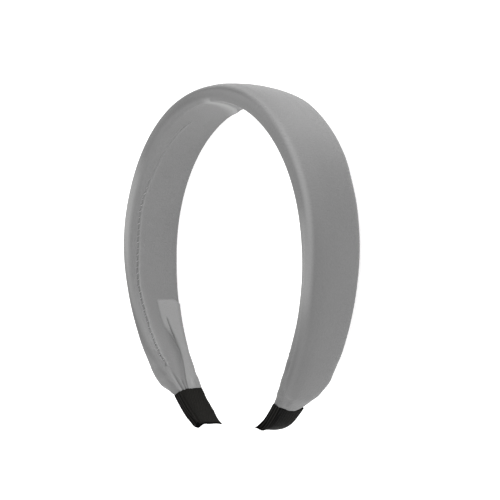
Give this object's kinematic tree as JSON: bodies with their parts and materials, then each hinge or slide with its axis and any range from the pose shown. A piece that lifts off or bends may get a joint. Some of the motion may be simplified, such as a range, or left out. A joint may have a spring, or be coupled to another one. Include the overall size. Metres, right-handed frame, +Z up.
{
  "type": "padded headband",
  "caption": "Open arch of satin-covered padding worn over the head, with a seam inside and ribbon-bound ends.",
  "frame": {"origin": "bottom centre of the bounding box, on the surface that the headband lies on", "axes": "+Y towards the crown of the arch, +X across the arch, +Z up along the band's width from the edge it lies on"},
  "size_m": [0.151, 0.1498, 0.028],
  "materials": {
    "satin": "grey satin with a soft sheen",
    "ribbon": "black ribbed grosgrain ribbon"
  },
  "bodies": {
    "root": {"padded_band": "satin", "ribbon_tip_left": "ribbon", "ribbon_tip_right": "ribbon"}
  },
  "joints": []
}
